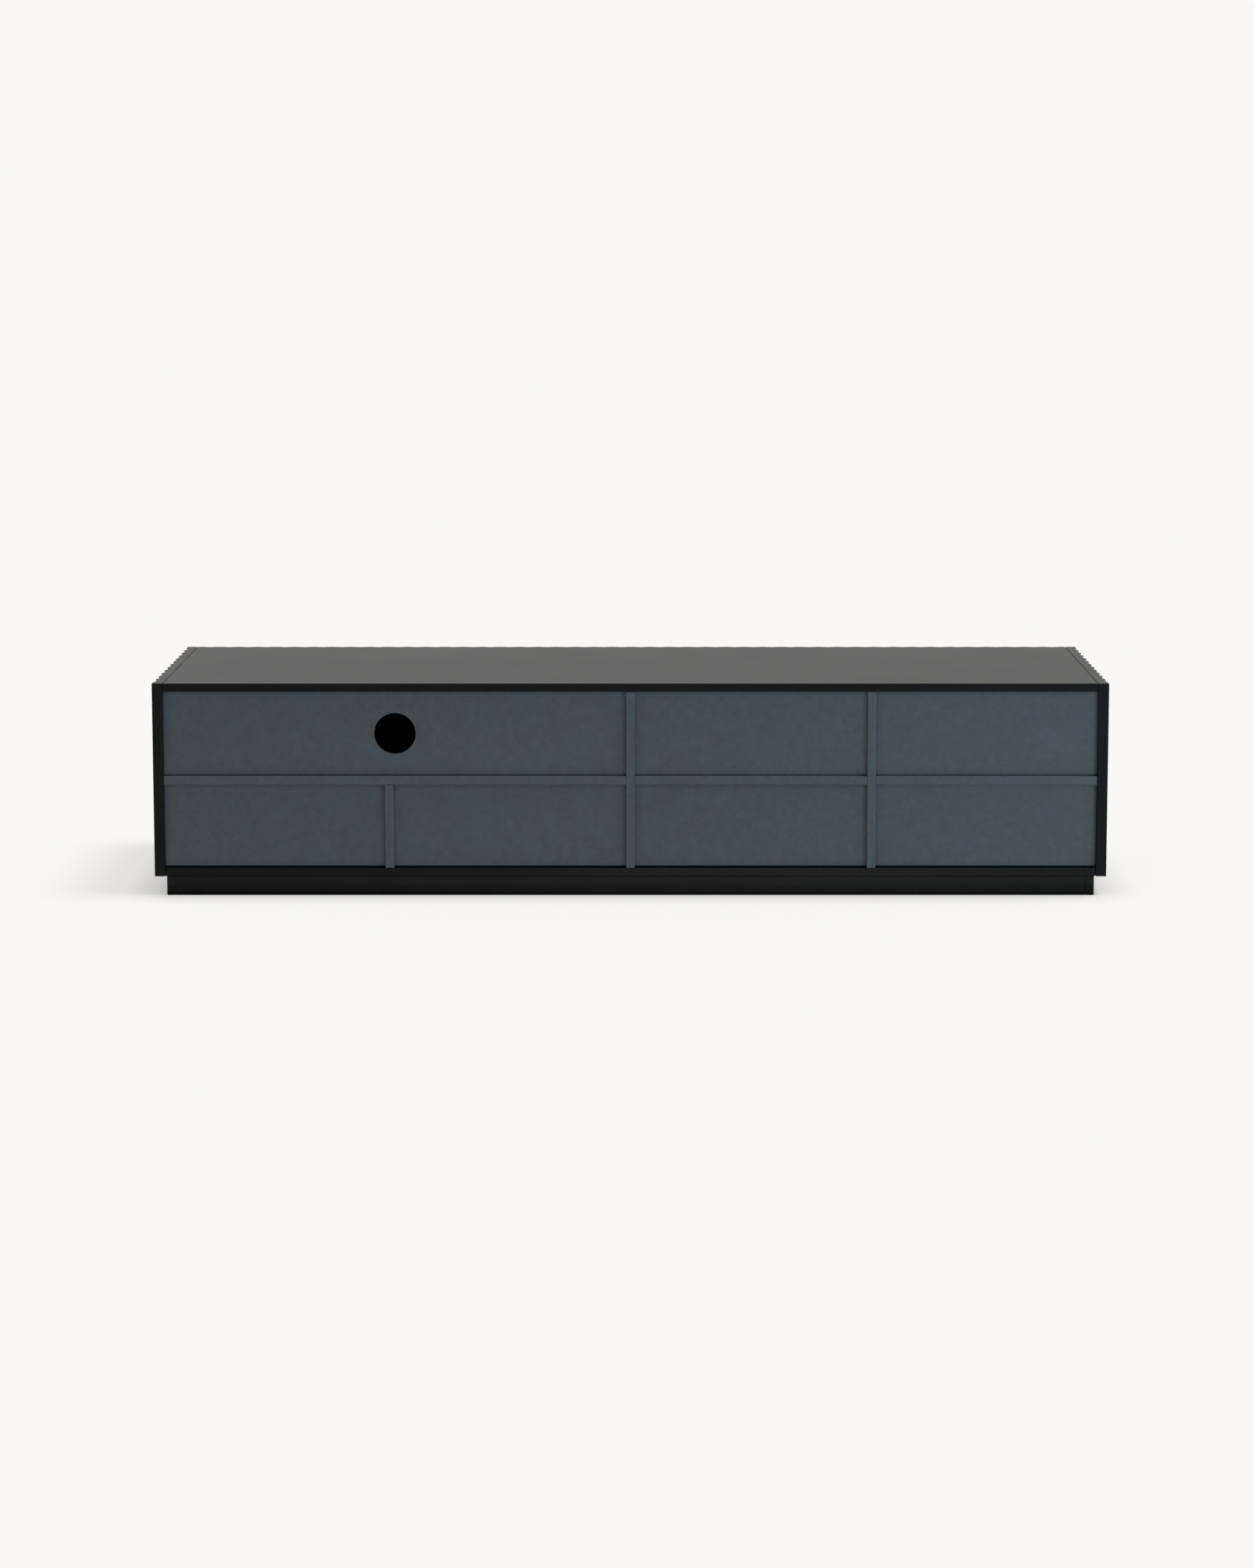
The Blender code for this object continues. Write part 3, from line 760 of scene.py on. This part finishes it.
# Each softbox: its name, place, target, size, watts, colour and the pieces that it lights.
SOFTBOXES = (
    ("rear_fill", (-3.0, 3.2, SOFTBOX_LEVEL), (-0.3, 0.24, SOFTBOX_LEVEL), SOFTBOX_SIZE,
     75, (0.52, 0.86, 1.0), ALL_BUT_STEEL),
    ("front_fill", (3.3, -2.3, SOFTBOX_LEVEL), (0.0, -0.24, SOFTBOX_LEVEL), SOFTBOX_SIZE,
     160, (1.0, 0.98, 0.95), ALL_BUT_STEEL),
    ("side_fill", (-3.3, -2.3, SOFTBOX_LEVEL), (0.0, -0.24, SOFTBOX_LEVEL), SOFTBOX_SIZE,
     110, (0.94, 0.97, 1.0), ALL_BUT_STEEL),
    ("floor_bounce", (-0.35, 0.74, 0.03), (-0.35, 0.24, 0.03), (1.0, 0.05),
     1.0, (1.0, 0.96, 0.92), LOWER_EDGES),
)


def make_floor():
    """A plain floor, part glow and part diffuse, that ends up as bright as the sky."""
    bpy.ops.mesh.primitive_circle_add(vertices=FLOOR_SIDES, radius=FLOOR_RADIUS,
                                      fill_type="NGON")
    floor = bpy.context.active_object
    floor.name = "studio_floor"
    finish = Finish("studio_floor")
    tree = finish.tree
    tree.nodes.remove(finish.shader)
    contact = finish.node("ShaderNodeAmbientOcclusion", {"Distance": CONTACT_REACH},
                          samples=CONTACT_SAMPLES)
    strength = finish.mapped(contact.outputs["AO"], FLOOR_GLOW * (1 - CONTACT_SHARE),
                             FLOOR_GLOW, 0.0, 1.0)
    glow = finish.node("ShaderNodeEmission", {"Color": (*BACKDROP, 1.0), "Strength": strength})
    grey = (1 - FLOOR_GLOW) / (1 + SUN_SHARE)
    diffuse = finish.node("ShaderNodeBsdfDiffuse", {"Color": (grey, grey, grey, 1.0)})
    both = finish.node("ShaderNodeAddShader", {0: glow.outputs[0], 1: diffuse.outputs[0]})
    output = next(node for node in tree.nodes if node.type == "OUTPUT_MATERIAL")
    tree.links.new(both.outputs[0], output.inputs["Surface"])
    floor.data.materials.append(finish.material)


def make_sky():
    world = bpy.data.worlds.new("studio_sky")
    world.use_nodes = True
    background = world.node_tree.nodes["Background"]
    background.inputs["Color"].default_value = (*BACKDROP, 1.0)
    background.inputs["Strength"].default_value = 1.0
    bpy.context.scene.world = world


def place_lamp(data, place, back):
    """A lamp at a place, with its back turned in a direction."""
    lamp = bpy.data.objects.new(data.name, data)
    lamp.location = place
    lamp.rotation_euler = back.to_track_quat("Z", "Y").to_euler()
    bpy.context.scene.collection.objects.link(lamp)
    return lamp


def make_sun():
    """A broad key light, high over the -X side and a little towards the fluted front."""
    data = bpy.data.lights.new("key_sun", "SUN")
    data.color = BACKDROP
    data.energy = math.pi * SUN_SHARE / math.sin(SUN_ELEVATION)
    data.angle = SUN_WIDTH
    towards = Vector((-math.cos(SUN_ELEVATION) * math.cos(SUN_AZIMUTH),
                      math.cos(SUN_ELEVATION) * math.sin(SUN_AZIMUTH), math.sin(SUN_ELEVATION)))
    place_lamp(data, towards * SUN_DISTANCE, towards)


def make_softbox(name, place, target, size, watts, colour, lit):
    """A soft light on some pieces only, so that the floor stays as even as the sky."""
    data = bpy.data.lights.new(name, "AREA")
    data.shape = "RECTANGLE"
    data.size, data.size_y = size
    data.energy = watts
    data.color = colour
    lamp = place_lamp(data, place, Vector(place) - Vector(target))
    lamp.visible_camera = False
    lamp.light_linking.receiver_collection = lit


def make_camera():
    """Behind the dresser and above it. The shift keeps its upright edges near parallel."""
    data = bpy.data.cameras.new("camera")
    data.lens = CAMERA_LENS
    data.sensor_width = CAMERA_SENSOR
    data.shift_x, data.shift_y = CAMERA_SHIFT
    data.clip_end = CAMERA_REACH
    camera = bpy.data.objects.new("camera", data)
    camera.location = CAMERA_PLACE
    camera.rotation_euler = (math.radians(90 - CAMERA_PITCH), 0.0, math.radians(180))
    bpy.context.scene.collection.objects.link(camera)
    bpy.context.scene.camera = camera


make_floor()
make_sky()
make_sun()
for softbox in SOFTBOXES:
    make_softbox(*softbox)
make_camera()
bpy.context.scene.view_settings.view_transform = "Standard"
